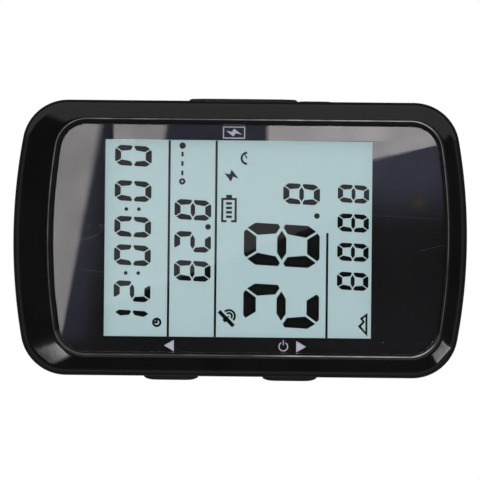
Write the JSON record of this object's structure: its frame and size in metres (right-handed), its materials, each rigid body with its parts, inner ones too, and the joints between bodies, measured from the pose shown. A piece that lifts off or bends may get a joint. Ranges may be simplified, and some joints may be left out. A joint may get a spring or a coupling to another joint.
{
  "type": "gps bike computer",
  "caption": "Handheld cycling computer with a glossy black bezel, a segmented display, side keys, a rubber port cover and a quarter-turn mount on its back.",
  "frame": {"origin": "under the middle of the case, on the plane of the quarter-turn mount's flat face, which is the face that the device lies on", "axes": "+Z out of the display, +Y towards the top of the display, which is forwards on the bicycle, +X towards the right side of the display"},
  "size_m": [0.0526, 0.084, 0.0192],
  "materials": {
    "bezel": "glossy moulded black",
    "back": "fine moulded texture",
    "lens": "clear hard-coated plastic",
    "black_print": "black ink on the back of the lens",
    "pale_print": "pale ink",
    "adhesive": "thin tape",
    "foam": "closed-cell foam",
    "display_glass": "clear glass",
    "display_ink": "dark segments",
    "display_face": "pale blue-grey reflective film",
    "clear_plastic": "moulded acrylic",
    "white_plastic": "moulded white",
    "film_orange": "polyimide film",
    "board": "solder mask on glass fibre",
    "chip": "moulded epoxy",
    "ceramic": "unglazed",
    "steel": "plated",
    "black_steel": "black oxide",
    "rubber": "matt black",
    "seal": "silicone",
    "foil": "laminated foil",
    "lead": "silicone insulation"
  },
  "bodies": {
    "case": {"top_cover": "bezel", "rear_cover": "back", "case_seal": "seal", "case_screws": "black_steel", "lens": "lens", "lens_print": "black_print", "lens_marks": "pale_print", "lens_adhesive": "adhesive", "display_gasket": "foam", "front_glass": "display_glass", "display_digits": "display_ink", "display_signs": "display_ink", "cell_seal": "adhesive", "rear_glass": "display_face", "reflector": "display_face", "light_guide": "clear_plastic", "backlight_strip": "film_orange", "backlight_lamps": "white_plastic", "display_frame": "white_plastic", "display_ribbon": "film_orange", "ribbon_connector": "white_plastic", "main_board": "board", "board_screws": "steel", "gps_antenna": "ceramic", "antenna_electrode": "steel", "shield_can": "steel", "processor_chip": "chip", "memory_chip": "chip", "small_chips": "chip", "radio_antenna": "ceramic", "pressure_sensor": "steel", "vent_membrane": "white_plastic", "buzzer": "chip", "charging_socket": "steel", "socket_tongue": "chip", "page_switch": "chip", "power_switch": "chip", "page_key_seal": "seal", "power_key_seal": "seal", "port_anchor": "rubber", "battery_cell": "foil", "battery_pad": "foam", "battery_leads": "lead", "battery_plug": "white_plastic", "battery_header": "white_plastic", "twist_mount": "back", "mount_seal": "seal", "mount_screws": "steel"},
    "page_key": {"page_key": "rubber", "page_plunger": "white_plastic"},
    "power_key": {"power_key": "rubber", "power_plunger": "white_plastic"},
    "port_cover": {"port_cover": "rubber"}
  },
  "joints": [
    {"name": "page_key_press", "type": "slide", "parent": "case", "child": "page_key", "axis": [1, 0, 0], "range_m": [0, 0.0005], "stiffness_N_per_m": 3000},
    {"name": "power_key_press", "type": "slide", "parent": "case", "child": "power_key", "axis": [1, 0, 0], "range_m": [0, 0.0005], "stiffness_N_per_m": 3000},
    {"name": "port_cover_swing", "type": "hinge", "parent": "case", "child": "port_cover", "pos_m": [0.0258, -0.0105, 0.00902], "axis": [0, 0, -1], "range_deg": [0, 110], "stiffness_Nm_per_rad": 0.0004}
  ]
}
